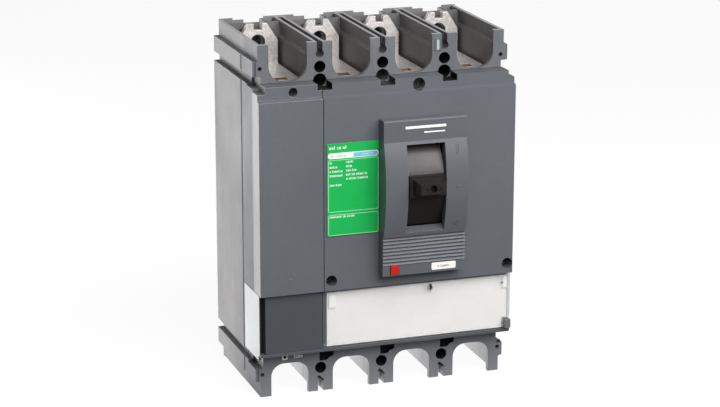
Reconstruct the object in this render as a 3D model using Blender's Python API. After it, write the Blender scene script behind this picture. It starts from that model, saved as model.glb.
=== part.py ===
"""Four-pole moulded-case breaker, 630 A frame, as a switch: no trip unit fitted.

Origin: centre of the rear mounting face. +X right, +Y into the panel, +Z up.
The operator stands on the -Y side. Lengths below are millimetres.
"""
import math

import bmesh
import bpy
from mathutils import Matrix, Vector

MM = 0.001

# --- overall sizes -------------------------------------------------------
POLES = (-67.5, -22.5, 22.5, 67.5)
POLE_NAMES = ("n", "l1", "l2", "l3")
JUNCTIONS = (-45.0, 0.0, 45.0)
HALF_WIDTH = 92.5
WALL_X = 88.8
WALL_Z = 124.5
RIM_Z = 125.2
BODY_Z = 95.3
GAP = 0.3

# --- depths of the front planes -----------------------------------------
SEAM = -67.5
COVER_BACK = -94.4
SHROUD = -95.5
BAND = -107.0
COVER = -110.0

# --- terminal bays -------------------------------------------------------
BAY_HALF = 17.0
BAY_TOP_HALF = 18.7
BAY_LEDGE = 113.2
BAY_BACK = -15.0
MOUTH_HALF = 13.5
LIP = 3.5
MOUTH_Z = 98.6
ARCH_TOP = -101.5
FLOOR_Z = 91.7
PAD_Y = -25.0
PAD_THICK = 5.0
PAD_HALF = 14.7
PAD_TOP = 125.0
BOLT_Z = 112.0
NUT_SIZE = 16.0

# --- cover split and lower block -----------------------------------------
SPLIT_X = -47.0
COVER_TOP = 98.0
COVER_LOW = -47.3
BLOCK_TOP = -47.7
BLOCK_LOW = -91.8
BLOCK_BACK = -70.2
FLAP_AXIS = (-106.4, -86.9)

# --- handle and contacts -------------------------------------------------
HANDLE_X = 22.5
PIVOT = (-80.5, 22.3)
REST_ANGLE = 4.2
SHAFT = (-36.0, 5.0)
CRANK = 17.0
ARM_REST = -14.0
ARM_REACH = 34.0


# =========================================================================
#  helpers
# =========================================================================
def clear_scene():
    for old in list(bpy.data.objects):
        bpy.data.objects.remove(old, do_unlink=True)


def new_collection(name):
    made = bpy.data.collections.new(name)
    bpy.context.scene.collection.children.link(made)
    return made


def material(name, colour, roughness, metallic=0.0, alpha=1.0):
    made = bpy.data.materials.new(name)
    made.use_nodes = True
    shader = made.node_tree.nodes["Principled BSDF"]
    shader.inputs["Base Color"].default_value = (*colour, 1.0)
    shader.inputs["Roughness"].default_value = roughness
    shader.inputs["Metallic"].default_value = metallic
    shader.inputs["Alpha"].default_value = alpha
    made.diffuse_color = (*colour, alpha)
    return made


def put(name, mesh, paint=None):
    """Link a mesh as a part, or as a cutter when it has no paint."""
    made = bpy.data.objects.new(name, mesh)
    if paint is None:
        CUTTERS.objects.link(made)
        made.hide_render = True
        made.display_type = "WIRE"
    else:
        PARTS.objects.link(made)
        mesh.materials.clear()
        mesh.materials.append(paint)
    return made


def box_mesh(name, xs, ys, zs):
    mesh = bpy.data.meshes.new(name)
    bm = bmesh.new()
    bmesh.ops.create_cube(bm, size=1.0)
    size = Vector((xs[1] - xs[0], ys[1] - ys[0], zs[1] - zs[0])) * MM
    centre = Vector((xs[1] + xs[0], ys[1] + ys[0], zs[1] + zs[0])) * MM / 2
    bmesh.ops.scale(bm, vec=size, verts=bm.verts)
    bmesh.ops.translate(bm, vec=centre, verts=bm.verts)
    bm.to_mesh(mesh)
    bm.free()
    return mesh


def box(name, xs, ys, zs, paint=None):
    return put(name, box_mesh(name, xs, ys, zs), paint)


AXES = {
    "X": Matrix(((0, 0, 1), (1, 0, 0), (0, 1, 0))).to_4x4(),
    "Y": Matrix(((1, 0, 0), (0, 0, -1), (0, 1, 0))).to_4x4(),
    "Z": Matrix.Identity(4),
}


def rod_mesh(name, axis, centre, radius, lo, hi, sides=20, tip=None):
    """Round bar along an axis; centre is the pair of other coordinates."""
    mesh = bpy.data.meshes.new(name)
    bm = bmesh.new()
    bmesh.ops.create_cone(
        bm, cap_ends=True, segments=sides,
        radius1=radius * MM, radius2=(tip or radius) * MM,
        depth=(hi - lo) * MM)
    middle = (lo + hi) / 2
    spots = {
        "X": (centre[0], centre[1], middle),
        "Y": (centre[0], centre[1], -middle),
        "Z": (centre[0], centre[1], middle),
    }
    bmesh.ops.translate(bm, vec=Vector(spots[axis]) * MM, verts=bm.verts)
    bmesh.ops.transform(bm, matrix=AXES[axis], verts=bm.verts)
    bm.to_mesh(mesh)
    bm.free()
    return mesh


def rod(name, axis, centre, radius, lo, hi, paint=None, sides=20, tip=None):
    return put(name, rod_mesh(name, axis, centre, radius, lo, hi, sides, tip), paint)


def plate_mesh(name, axis, outlines, lo, hi):
    """Flat outline, or outline with holes, thickened along an axis."""
    curve = bpy.data.curves.new(name, "CURVE")
    curve.dimensions = "2D"
    curve.fill_mode = "BOTH"
    curve.extrude = (hi - lo) / 2 * MM
    for outline in outlines:
        spline = curve.splines.new("POLY")
        spline.points.add(len(outline) - 1)
        for point, (u, v) in zip(spline.points, outline):
            point.co = (u * MM, v * MM, 0.0, 1.0)
        spline.use_cyclic_u = True
    holder = bpy.data.objects.new(name, curve)
    bpy.context.scene.collection.objects.link(holder)
    graph = bpy.context.evaluated_depsgraph_get()
    mesh = bpy.data.meshes.new_from_object(holder.evaluated_get(graph))
    bpy.data.objects.remove(holder, do_unlink=True)
    middle = (lo + hi) / 2
    shift = -middle if axis == "Y" else middle
    bm = bmesh.new()
    bm.from_mesh(mesh)
    bmesh.ops.remove_doubles(bm, verts=bm.verts, dist=1e-6)
    bmesh.ops.translate(bm, vec=(0, 0, shift * MM), verts=bm.verts)
    bmesh.ops.transform(bm, matrix=AXES[axis], verts=bm.verts)
    bmesh.ops.dissolve_limit(
        bm, angle_limit=0.001, verts=bm.verts, edges=bm.edges)
    bmesh.ops.recalc_face_normals(bm, faces=bm.faces)
    bm.to_mesh(mesh)
    bm.free()
    mesh.name = name
    return mesh


def plate(name, axis, outline, lo, hi, paint=None, holes=()):
    return put(name, plate_mesh(name, axis, [outline, *holes], lo, hi), paint)


def arc(centre, radius, start, end, steps):
    """Points on a circle, angles in degrees from the first axis."""
    turns = [start + (end - start) * i / steps for i in range(steps + 1)]
    return [(centre[0] + radius * math.cos(math.radians(t)),
             centre[1] + radius * math.sin(math.radians(t))) for t in turns]


def circle(centre, radius, sides=16):
    return arc(centre, radius, 0.0, 360.0 * (sides - 1) / sides, sides - 1)


def boolean(target, other, operation):
    step = target.modifiers.new(operation.lower(), "BOOLEAN")
    step.operation = operation
    step.solver = "EXACT"
    step.object = other


def cut(target, *others):
    for other in others:
        boolean(target, other, "DIFFERENCE")


def fuse(target, *others):
    for other in others:
        boolean(target, other, "UNION")


def tilt(obj, pivot, degrees):
    """Turn a part about an X axis through pivot = (y, z)."""
    spot = Vector((0.0, pivot[0] * MM, pivot[1] * MM))
    obj.data.transform(Matrix.Translation(-spot))
    obj.location = spot
    obj.rotation_euler = (math.radians(degrees), 0.0, 0.0)


def smooth(obj, angle=35.0):
    obj.data.shade_smooth()
    obj.data.set_sharp_from_angle(angle=math.radians(angle))


def copy_at(name, source, dx, paint):
    made = bpy.data.objects.new(name, source.data)
    PARTS.objects.link(made)
    made.location = source.location + Vector((dx * MM, 0, 0))
    made.rotation_euler = source.rotation_euler
    return made


def bake(obj):
    """Keep the shape the modifiers give, as one plain mesh."""
    graph = bpy.context.evaluated_depsgraph_get()
    graph.update()
    mesh = bpy.data.meshes.new_from_object(obj.evaluated_get(graph))
    tools = [step.object for step in obj.modifiers]
    obj.modifiers.clear()
    obj.data = mesh
    for tool in tools:
        bpy.data.objects.remove(tool, do_unlink=True)


# =========================================================================
#  housing
# =========================================================================
def case_block(name, front, back, inset=0.0):
    """Body with rail grooves and ears at both ends, before the bays."""
    half = HALF_WIDTH - inset
    case = box(name, (-half, half), (front, back), (-WALL_Z, WALL_Z), PAINT["case"])
    for side in (-1, 1):
        wall = sorted((side * WALL_X, side * 95))
        groove = sorted((side * 88.5, side * 95))
        for end in (-1, 1):
            step = sorted((end * 113.7, end * 130))
            cut(case, box("wall_step", wall, (front - 1, back + 1), step))
            channel = sorted((end * 96.0, end * 102.5))
            cut(case, box("groove", groove, (front - 1, back + 1), channel))
    return case


def arch_outline(x):
    """Flat-headed arch of a lower terminal bay, with round shoulders."""
    r = 9.0
    right = arc((x + MOUTH_HALF - r, ARCH_TOP - r), r, 0, 90, 6)
    left = arc((x - MOUTH_HALF + r, ARCH_TOP - r), r, 90, 180, 6)
    return [(x + MOUTH_HALF, -131.0), *right, *left, (x - MOUTH_HALF, -131.0)]


def mouth_outline(x):
    """Round-bottomed opening of an upper terminal bay in the front lip."""
    r = 11.0
    left = arc((x - MOUTH_HALF + r, MOUTH_Z + r), r, 180, 270, 6)
    right = arc((x + MOUTH_HALF - r, MOUTH_Z + r), r, 270, 360, 6)
    return [(x - MOUTH_HALF, 131.0), *left, *right, (x + MOUTH_HALF, 131.0)]


def bay_cutters(case, front, back):
    """Open the eight terminal bays between two depths."""
    rise = BAY_TOP_HALF - BAY_HALF
    for x in POLES:
        for side in (1, -1):
            half = [(BAY_HALF, FLOOR_Z), (BAY_HALF, BAY_LEDGE),
                    (BAY_TOP_HALF, BAY_LEDGE + rise), (BAY_TOP_HALF, 131.0)]
            shape = half + [(-u, v) for u, v in reversed(half)]
            outline = [(x + u, side * v) for u, v in shape]
            cut(case, plate("bay", "Y", outline, front, back))


def slit_cutters(case, front, back):
    """Narrow slits for loose phase barriers in each inner wall."""
    for x in JUNCTIONS:
        for side in (1, -1):
            zs = sorted((side * 116.6, side * 131.0))
            cut(case, box("slit", (x - 1.6, x + 1.6), (front, back), zs))


def rear_walls(case):
    """Thin wall behind each bay: pockets at both sides and a low middle."""
    for x in POLES:
        for side in (1, -1):
            top = sorted((side * 124.0, side * 131.0))
            cut(case, box("top", (x - BAY_TOP_HALF, x + BAY_TOP_HALF), (-16, -1.6), top))
            low = sorted((side * 119.3, side * 131.0))
            cut(case, box("low", (x - 3.5, x + 8.3), (-13.6, 1), low))
            for left, right in ((-17.6, -9.6), (9.6, 17.6)):
                deep = sorted((side * 112.0, side * 131.0))
                cut(case, box("pocket", (x + left, x + right), (-13.6, -1.6), deep))
            ledge = sorted((side * 121.6, side * 131.0))
            cut(case, box("ledge", (x - 10.5, x - 2), (-13.6, -1.6), ledge))
            for left, right in ((-11.5, -3.4), (8.2, 11.2)):
                step = sorted((side * 123.7, side * 131.0))
                cut(case, box("step", (x + left, x + right), (-2.0, 1), step))


def rear_case():
    case = case_block("rear_case", SEAM + 0.15, 0.0)
    for side in (1, -1):
        rim = sorted((side * 118.0, side * RIM_Z))
        fuse(case, box("rim", (-WALL_X, WALL_X), (-1.6, 0), rim))
    bay_cutters(case, -70, BAY_BACK)
    rear_walls(case)
    slit_cutters(case, -70, -3)
    for x in POLES:
        cut(case, box("chamber", (x - 19.5, x + 19.5), (-70, -4), (-88, 88)))
        for side in (1, -1):
            seat = sorted((side * 90.0, side * 120.6))
            fuse(case, box("nut_block", (x - 10, x + 10), (-19.6, BAY_BACK + 1), seat))
            way = sorted((side * 86.0, side * 93.0))
            cut(case, box("bar_way", (x - 10.4, x + 10.4), (-25.4, -19.5), way))
            half = NUT_SIZE / 2 + GAP
            pocket = (side * BOLT_Z - half, side * BOLT_Z + half)
            cut(case, box("pocket", (x - half, x + half), (-20, -10), pocket))
            cut(case, rod("bolt_end", "Y", (x, side * BOLT_Z), 5.6, -11, -5, sides=16))
    for x in (-45.0, 45.0):
        for z in (-100.0, 100.0):
            cut(case, rod("fixing", "Y", (x, z), 3.0, -70, 1, sides=16))
    low, high = SHAFT[1] - 6.2, SHAFT[1] + 6.2
    cut(case, box("axle_way", (-50, 50), (-70, SHAFT[0]), (low, high)))
    cut(case, rod("axle_seat", "X", SHAFT, 6.2, -49, 49, sides=16))
    return case


def front_case():
    case = case_block("front_case", SHROUD, SEAM - 0.15, 0.4)
    cut(case, box("cover_seat", (-95, 95), (-97, COVER_BACK + GAP), (BLOCK_LOW, 98.3)))
    cut(case, box("block_seat", (-95, 95), (-97, BLOCK_BACK + GAP),
                  (BLOCK_LOW - GAP, BLOCK_TOP + GAP)))
    cut(case, box("cheek_seat", (-95, -90.1), (-97, BLOCK_BACK + GAP), (-94.8, -91)))
    for side in (-1, 1):
        xs = sorted((side * 89.95, side * 95))
        cut(case, box("ear_end", xs, (-97, -94.3), (98, 116)))
        cut(case, box("ear_end", xs, (-97, -94.3), (-116, -94.9)))
        pocket = sorted((side * 86.9, side * 95))
        cut(case, box("ear_pocket", pocket, (-97, -80.5), (94.9, 103.0)))
        cut(case, box("ear_pocket", pocket, (-97, -77.0), (-104.0, -94.7)))
    bay_cutters(case, SHROUD + LIP, -66)
    slit_cutters(case, -97, -66)
    for x in POLES:
        cut(case, plate("mouth", "Y", mouth_outline(x), -97, -91))
        cut(case, plate("arch", "Y", arch_outline(x), -97, -91))
        front = -97 if x == HANDLE_X else -91.5
        cut(case, box("chamber", (x - 19.5, x + 19.5), (front, -66), (-45, 84)))
    for x in JUNCTIONS:
        for side in (1, -1):
            wide = sorted((side * 116.6, side * 131.0))
            cut(case, box("wide_slit", (x - 1.95, x + 1.95), (-97, -88), wide))
            cut(case, rod("round", "Y", (x, side * 107.4), 4.1, -97, -74, sides=20))
        cut(case, rod("slit_end", "Y", (x, 116.4), 3.0, -97, -84, sides=12))
        cut(case, rod("head_way", "Y", (x, 98.0), 4.8, -97, -76, sides=24))
        square = [(x - 0.8, -96.0), (x - 0.8, -102.4), (x + 4.4, -102.4),
                  (x + 6.4, -100.4), (x + 9.6, -99.4), (x + 9.6, -96.0)]
        cut(case, plate("square", "Y", square, -97, -84))
        slant = [(x - 2.9, -114.8), (x - 1.1, -113.0), (x + 3.0, -117.0),
                 (x + 1.2, -118.8)]
        cut(case, plate("slit_end", "Y", slant, -97, -84))
    for x in (-45.0, 45.0):
        for z in (-100.0, 100.0):
            cut(case, rod("fixing", "Y", (x, z), 3.0, -85, -66, sides=16))
    for spot in ((-87.2, 108.5), (86.6, 107.0), (-87.4, -108.3), (88.0, -106.9)):
        cut(case, rod("dot", "Y", spot, 1.5, -97, -88, sides=12))
    for spot in SCREWS[:2]:
        cut(case, rod("thread", "Y", spot, 2.0, -97, -92.2, sides=12))
    for spot in SCREWS[2:]:
        cut(case, rod("thread", "Y", spot, 2.0, -97, -92.0, sides=12))
    return case


SCREWS = ((22.3, 93.0), (-67.5, 93.6), (-41.6, -40.2), (88.4, -40.2))
SCREW_FRONT = (BAND, BAND, COVER, COVER)
SCREW_RADIUS = (4.5, 3.2, 4.0, 4.0)


def cover_profile():
    """Side view of a front cover: tall face, chamfer, lower top band."""
    return [(COVER_BACK, COVER_LOW), (COVER, COVER_LOW), (COVER, 88.2),
            (BAND, 89.2), (BAND, COVER_TOP), (COVER_BACK, COVER_TOP)]


def screw_ways(cover, wanted):
    for i in wanted:
        front, spot = SCREW_FRONT[i], SCREWS[i]
        cut(cover, rod("head_way", "Y", spot, SCREW_RADIUS[i], front - 1, -98.2))
        cut(cover, rod("shank_way", "Y", spot, 2.1, -99, -93, sides=12))


def main_cover():
    cover = plate("main_cover", "X", cover_profile(), SPLIT_X + 0.15, HALF_WIDTH,
                  PAINT["cover"])
    cut(cover, box("hollow", (-44.4, 90.1), (COVER + 2.6, -93), (-44.9, 86)))
    for xs in ((-46, -35.8), (82.5, 92)):
        fuse(cover, box("boss", xs, (COVER + 2, COVER_BACK), (-46, -34.5)))
    cut(cover, box("handle_way", (4.5, 40.5), (-111, -106), (-13, 60)))
    cut(cover, box("button_way", (-1.2, 3.9), (-111, -106), (-36.2, -31.2)))
    for x in JUNCTIONS[1:]:
        cut(cover, box("recess", (x - 5.3, x + 5.1), (-108, -93), (93.8, 99)))
    cut(cover, box("half_recess", (-48, -39.9), (-108, -93), (93.8, 99)))
    cut(cover, box("corner", (88.2, 94), (-108, -93), (93.3, 99)))
    screw_ways(cover, (0, 2, 3))
    return cover


def neutral_cover():
    cover = plate("neutral_cover", "X", cover_profile(), -HALF_WIDTH, SPLIT_X - 0.15,
                  PAINT["cover"])
    cut(cover, box("hollow", (-90.1, -49.7), (COVER + 2.6, -93), (-44.9, 86)))
    cut(cover, box("half_recess", (-50.3, -46), (-108, -93), (93.8, 99)))
    cut(cover, box("corner", (-94, -87.0), (-108, -93), (93.3, 99)))
    screw_ways(cover, (1,))
    return cover


def trip_block():
    block = box("trip_block", (-92.3, 92.3), (-103.0, BLOCK_BACK),
                (BLOCK_LOW, BLOCK_TOP), PAINT["block"])
    cut(block, box("thin_side", (89.2, 94), (-104, -96), (-82.3, -40)))
    for x in POLES:
        cut(block, box("pocket", (x - 18, x + 18), (-104, -74), (-86, -54)))
    fuse(block, box("cheek", (-92.3, -90.4), (-103.0, BLOCK_BACK), (-94.5, -91)))
    fuse(block, box("band", (-92.0, 91.6), (BAND, -102), (BLOCK_LOW, -89.6)))
    fuse(block, box("rib", (-47.0, -45.1), (BAND, -102), (-91, BLOCK_TOP)))
    fuse(block, box("lug_foot", (88.0, 92.3), (BAND, -102), (-91.5, -88)))
    fuse(block, box("lug", (88.0, 92.3), (-109.2, -102), (-88.6, -82.4)))
    fuse(block, box("edge", (-92.3, -91.7), (-105.6, -102), (-91, BLOCK_TOP)))
    cut(block, rod("hinge_right", "X", FLAP_AXIS, 0.95, 86, 90.6, sides=12))
    cut(block, rod("hinge_left", "X", FLAP_AXIS, 0.95, -46.6, -44, sides=12))
    return block


def neutral_panel():
    return box("neutral_panel", (-88.2, -47.3), (BAND, -103.3), (-89.3, -48.4),
               PAINT["panel"])


def blank_plate():
    sheet = box("blank_plate", (-43.4, 90.7), (-104.8, -103.3), (-89.3, -50.2),
                PAINT["white"])
    cut(sheet, box("lug_way", (87.4, 92), (-106, -102), (-92, -81.6)))
    bake(sheet)
    return sheet


def clear_cover():
    """Hinged transparent flap with a top lip and a right-hand return."""
    outline = [(-44.8, -48.3), (92.3, -48.3), (92.3, -81.2), (87.4, -81.2),
               (87.4, -87.9), (-44.8, -87.9)]
    flap = plate("clear_cover", "Y", outline, BAND, -105.8, PAINT["clear"])
    fuse(flap, box("lip", (-44.8, 92.3), (-106.4, -103.4), (-49.6, -48.3)))
    fuse(flap, box("return", (91.1, 92.3), (-106.4, -99.5), (-81.2, -48.3)))
    fuse(flap, rod("stub", "X", FLAP_AXIS, 0.55, -46.2, -44, sides=10))
    fuse(flap, rod("stub", "X", FLAP_AXIS, 0.55, 86.8, 90.2, sides=10))
    bake(flap)
    tilt(flap, FLAP_AXIS, 0.0)
    return flap


# =========================================================================
#  escutcheon, button and plates
# =========================================================================
def escutcheon_profile():
    """Side view: flat head, bulging handle surround, grip ribs, foot strip."""
    bulge = arc((-16.2, 23.5), 109.0, 180 - 17.7, 180 + 18.1, 12)
    shape = [(-110.3, 71.8), (-119.2, 71.8), (-120.0, 71.0), (-120.0, 56.8)]
    shape += bulge
    for i in range(8):
        z = -10.95 - 2.53 * i
        shape += [(-118.2, z), (-119.5, z - 1.4), (-119.5, z - 1.75), (-118.2, z - 2.1)]
    shape += [(-118.6, -31.4), (-118.6, -37.8), (-118.0, -38.4), (-110.3, -38.4)]
    return shape


def escutcheon():
    frame = plate("escutcheon", "X", escutcheon_profile(), -7.5, 52.5, PAINT["frame"])
    cut(frame, box("hollow", (-5.2, 50.2), (-116.2, -109), (-36.1, 69.5)))
    sill = [(-117.6, -11.5), (-114.0, -11.5), (-114.0, -4.4), (-117.6, -4.4)]
    fuse(frame, plate("sill", "X", sill, 6.4, 38.6))
    window = [(-130, -11.66), (-114.2, -4.89), (-109, -4.89), (-109, 54.4), (-130, 54.4)]
    cut(frame, plate("window", "X", window, 8.6, 36.4))
    cut(frame, box("button_way", (-2.1, 4.8), (-120, -109), (-37.2, -30.6)))
    cut(frame, box("plate_seat", (27.9, 46.5), (-120, -117.9), (-36.9, -31.1)))
    return frame


def trip_button():
    button = box("trip_button", (-1.8, 4.5), (-119.4, -113.4), (-36.95, -30.85),
                 PAINT["red"])
    fuse(button, box("stem", (-0.7, 3.4), (-114, -103.2), (-35.7, -31.7)))
    bake(button)
    return button


def rating_plate():
    outline = []
    for cx, cz, start in ((45.2, -32.4, 0), (29.2, -32.4, 90),
                          (29.2, -35.6, 180), (45.2, -35.6, 270)):
        outline += arc((cx, cz), 1.0, start, start + 90, 3)
    return plate("rating_plate", "Y", outline, -118.9, -118.2, PAINT["white"])


def label_plate():
    return box("label_plate", (-44.9, -7.9), (-110.75, -110.3), (-8.0, 57.0),
               PAINT["green"])


def cover_screw(i):
    """Cross-slotted cheese-head screw sunk in its cover."""
    name = "cover_screw_%d" % (i + 1)
    spot = SCREWS[i]
    head = SCREW_RADIUS[i] - 0.5
    screw = rod(name, "Y", spot, head, -101.2, -98.5, PAINT["screw"], sides=16)
    fuse(screw, rod("shank", "Y", spot, 1.7, -99, -92.6, sides=12))
    cut(screw, box("slot", (spot[0] - 2.2, spot[0] + 2.2), (-102, -99.9),
                   (spot[1] - 0.5, spot[1] + 0.5)))
    cut(screw, box("cross", (spot[0] - 0.5, spot[0] + 0.5), (-102, -99.9),
                   (spot[1] - 2.2, spot[1] + 2.2)))
    bake(screw)
    return screw


# =========================================================================
#  current path
# =========================================================================
def pad_outline(x):
    """Connection pad: cut corners at the tip and a locating notch."""
    right = [(2.8, PAD_TOP), (2.8, 120.4), (-2.8, 120.4), (-2.8, PAD_TOP),
             (-6.8, PAD_TOP), (-PAD_HALF, 112.6), (-PAD_HALF, 92.2),
             (PAD_HALF, 92.2), (PAD_HALF, 112.6), (6.8, PAD_TOP)]
    return [(x + u, v) for u, v in right]


def line_terminal(x, name):
    """Upper conductor: pad, foot on the bay floor, bar and fixed contact."""
    hole = circle((x, BOLT_Z), 5.2, 18)
    bar = plate(name, "Y", pad_outline(x), PAD_Y, PAD_Y + PAD_THICK,
                PAINT["tin"], [hole])
    fuse(bar, box("foot", (x - PAD_HALF, x + PAD_HALF), (-88, PAD_Y + 1), (92.2, 96)))
    cut(bar, box("slot", (x - 6, x + 6), (-77, -69), (91, 97)))
    fuse(bar, box("drop", (x - 10, x + 10), (-25, -20), (29, 94)))
    fuse(bar, box("tip", (x - 5, x + 5), (-27.4, -24), (30.5, 41)))
    bake(bar)
    return bar


def load_terminal(x, name):
    """Lower conductor: cranked forward to the front of the contact arm."""
    outline = [(u, -v) for u, v in pad_outline(x)]
    hole = circle((x, -BOLT_Z), 5.2, 18)
    bar = plate(name, "Y", outline, PAD_Y, PAD_Y + PAD_THICK, PAINT["tin"], [hole])
    fuse(bar, box("foot", (x - PAD_HALF, x + PAD_HALF), (-66, PAD_Y + 1), (-96, -92.2)))
    crank = [(-20, -94), (-20, -60), (-47, -60), (-47, -16), (-52, -16),
             (-52, -65), (-25, -65), (-25, -94)]
    fuse(bar, plate("crank", "X", crank, x - 10, x + 10))
    fuse(bar, box("tip", (x - 5, x + 5), (-48, -44.6), (-31, -20.5)))
    bake(bar)
    return bar


def terminal_nut(x, z, name):
    half = NUT_SIZE / 2
    square = [(x - half, z - half), (x + half, z - half),
              (x + half, z + half), (x - half, z + half)]
    return plate(name, "Y", square, -19.3, -10.6, PAINT["steel"],
                 holes=[circle((x, z), 4.3, 16)])


def contact_bridge(x, name):
    """Double-break moving contact: a bar with a pad at each end."""
    y, z = SHAFT
    bar = box(name, (x - 5, x + 5), (y - 3.5, y + 3.5),
              (z - ARM_REACH, z + ARM_REACH), PAINT["copper"])
    fuse(bar, box("pad", (x - 5, x + 5), (y + 3, y + 5), (z + 26, z + ARM_REACH)))
    fuse(bar, box("pad", (x - 5, x + 5), (y - 5, y - 3), (z - ARM_REACH, z - 26)))
    bake(bar)
    tilt(bar, SHAFT, -ARM_REST)
    return bar


def crank_pin():
    """Rest position of the crank pin relative to its own centre."""
    reach = Vector((SHAFT[0] - PIVOT[0], SHAFT[1] - PIVOT[1])).normalized()
    return (-reach.y * CRANK, reach.x * CRANK)


def contact_shaft():
    """Insulating rotor through all four poles, with two crank lugs."""
    shaft = rod("contact_shaft", "X", SHAFT, 5.5, -82, 82, PAINT["rotor"], sides=20)
    for x in POLES:
        fuse(shaft, rod("barrel", "X", SHAFT, 12.0, x - 15, x + 15, sides=24))
    py, pz = crank_pin()
    pin = (SHAFT[0] + py, SHAFT[1] + pz)
    heading = math.degrees(math.atan2(pz, py))
    lug = [*arc(pin, 4.5, heading - 90, heading + 90, 8),
           *arc(SHAFT, 8.0, heading + 120, heading + 240, 4)]
    for side in (-1, 1):
        xs = sorted((HANDLE_X + side * 6.2, HANDLE_X + side * 8.9))
        fuse(shaft, plate("lug", "X", lug, xs[0], xs[1]))
    for x in POLES:
        slot = box("arm_way", (x - 5.4, x + 5.4), (SHAFT[0] - 3.9, SHAFT[0] + 3.9),
                   (SHAFT[1] - 20, SHAFT[1] + 20))
        tilt(slot, SHAFT, -ARM_REST)
        cut(shaft, slot)
    cut(shaft, rod("pin_way", "X", pin, 2.3, HANDLE_X - 9.5, HANDLE_X - 5.8, sides=14))
    cut(shaft, rod("pin_way", "X", pin, 2.3, HANDLE_X + 5.8, HANDLE_X + 9.5, sides=14))
    bake(shaft)
    tilt(shaft, SHAFT, 0.0)
    return shaft


def arc_chute(name):
    """Steel splitter plates held between two fibre cheeks, pole N, upper."""
    x = POLES[0]
    chute = box(name, (x - 16, x - 14.8), (-62, -30), (45.5, 67.5), PAINT["chute"])
    blade = [(x - 15, 66.5), (x - 15, 46.5), (x - 5, 46.5), (x, 55.5),
             (x + 5, 46.5), (x + 15, 46.5), (x + 15, 66.5)]
    for i in range(7):
        y = -61 + i * 4.9
        fuse(chute, plate("blade", "Y", blade, y, y + 1.6))
    fuse(chute, box("cheek", (x + 14.8, x + 16), (-62, -30), (45.5, 67.5)))
    bake(chute)
    tilt(chute, SHAFT, 0.0)
    return chute


def arc_chutes():
    made = arc_chute("arc_chute_top_n")
    for x, pole in zip(POLES, POLE_NAMES):
        if pole != "n":
            copy_at("arc_chute_top_" + pole, made, x - POLES[0], PAINT["chute"])
        low = copy_at("arc_chute_low_" + pole, made, x - POLES[0], PAINT["chute"])
        low.rotation_euler = (math.pi, 0.0, 0.0)


# =========================================================================
#  operating mechanism
# =========================================================================
def turned(spot, degrees=REST_ANGLE):
    """A point of the handle, drawn level, moved to its rest angle."""
    t = -math.radians(degrees)
    y, z = spot[0] - PIVOT[0], spot[1] - PIVOT[1]
    return (PIVOT[0] + y * math.cos(t) - z * math.sin(t),
            PIVOT[1] + y * math.sin(t) + z * math.cos(t))


def toggle_handle():
    y, z = PIVOT
    x = HANDLE_X
    grip = box("toggle_handle", (x - 10.6, x + 10.6), (y - 56.7, y - 44.2),
               (z - 5.6, z + 5.6), PAINT["handle"])
    for vertex in grip.data.vertices:
        if vertex.co.y < (y - 50) * MM:
            vertex.co.x = x * MM + (vertex.co.x - x * MM) * 0.845
            vertex.co.z = z * MM + (vertex.co.z - z * MM) * 0.66
    fuse(grip, box("root", (x - 12.9, x + 12.9), (y - 45.2, y - 43.0),
                   (z - 7.2, z + 7.2)))
    fuse(grip, box("stem", (x - 7, x + 7), (y - 44, y - 33.2), (z - 3, z + 3)))
    cut(grip, rod("tip_hole", "Y", (x, z), 2.3, y - 58, y - 50, sides=14))
    bake(grip)
    tilt(grip, PIVOT, -REST_ANGLE)
    return grip


def toggle_shield():
    outer = arc(PIVOT, 42.5, 108, 252, 28)
    inner = arc(PIVOT, 40.7, 252, 108, 28)
    apron = plate("toggle_shield", "X", outer + inner, HANDLE_X - 13.2,
                  HANDLE_X + 13.2, PAINT["shield"])
    y, z = PIVOT
    cut(apron, box("stem_way", (HANDLE_X - 7.4, HANDLE_X + 7.4), (y - 45, y - 38),
                   (z - 3.4, z + 3.4)))
    bake(apron)
    tilt(apron, PIVOT, -REST_ANGLE)
    return apron


def yoke_arm_outline(pin):
    y, z = PIVOT
    heading = math.degrees(math.atan2(pin[1] - z, pin[0] - y))
    return [(y - 33, z + 4), (y - 33, z - 4), *arc(PIVOT, 6.0, 230, 340, 5),
            *arc(pin, 4.2, heading - 80, heading + 80, 6), (y - 8, z + 6)]


def toggle_yoke():
    """Steel stirrup: two arms on the pivot pin joined by a front bar."""
    py, pz = crank_pin()
    rest = (PIVOT[0] + py, PIVOT[1] + pz)
    pin = turned(rest, -REST_ANGLE)
    holes = [circle(PIVOT, 2.4, 14), circle(pin, 2.3, 14)]
    x = HANDLE_X
    y, z = PIVOT
    arm = yoke_arm_outline(pin)
    yoke = plate("toggle_yoke", "X", arm, x - 16.2, x - 14.6, PAINT["steel"], holes)
    fuse(yoke, plate("arm", "X", arm, x + 14.6, x + 16.2, holes=holes))
    fuse(yoke, box("bar", (x - 15, x + 15), (y - 32.9, y - 29.5), (z - 3, z + 3)))
    bake(yoke)
    tilt(yoke, PIVOT, -REST_ANGLE)
    return yoke


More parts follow.
